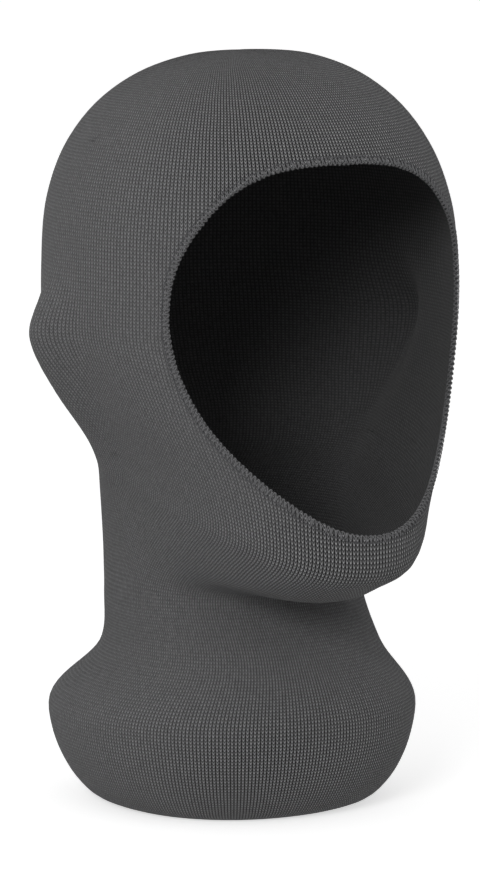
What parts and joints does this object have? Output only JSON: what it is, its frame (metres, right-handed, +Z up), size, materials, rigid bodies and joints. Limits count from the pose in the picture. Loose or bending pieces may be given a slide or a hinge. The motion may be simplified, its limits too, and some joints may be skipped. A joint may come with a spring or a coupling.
{
  "type": "balaclava",
  "caption": "Knitted full-head balaclava with an oval face opening, overlocked edges, a chin pouch and a flared collar that stands on its turned-under hem.",
  "frame": {"origin": "centre of the bounding box at the height of the flat underside of the collar", "axes": "+Z up towards the crown, the face opening looks along -Y, the wearer's right side is at -X"},
  "size_m": [0.1968, 0.1984, 0.329],
  "materials": {
    "knit": "charcoal grey fine-gauge plain knit, acrylic yarn, matte",
    "edge_thread": "charcoal grey textured overlock thread, matte",
    "seam_thread": "charcoal grey spun sewing thread, matte"
  },
  "bodies": {
    "root": {"hood_fabric": "knit", "face_edge_upper_looper_thread": "edge_thread", "face_edge_lower_looper_thread": "edge_thread", "face_edge_needle_thread": "edge_thread", "hem_edge_upper_looper_thread": "edge_thread", "hem_edge_lower_looper_thread": "edge_thread", "hem_edge_needle_thread": "edge_thread", "crown_seam_upper_looper_thread": "seam_thread", "crown_seam_lower_looper_thread": "seam_thread", "crown_seam_needle_thread": "seam_thread"}
  },
  "joints": []
}
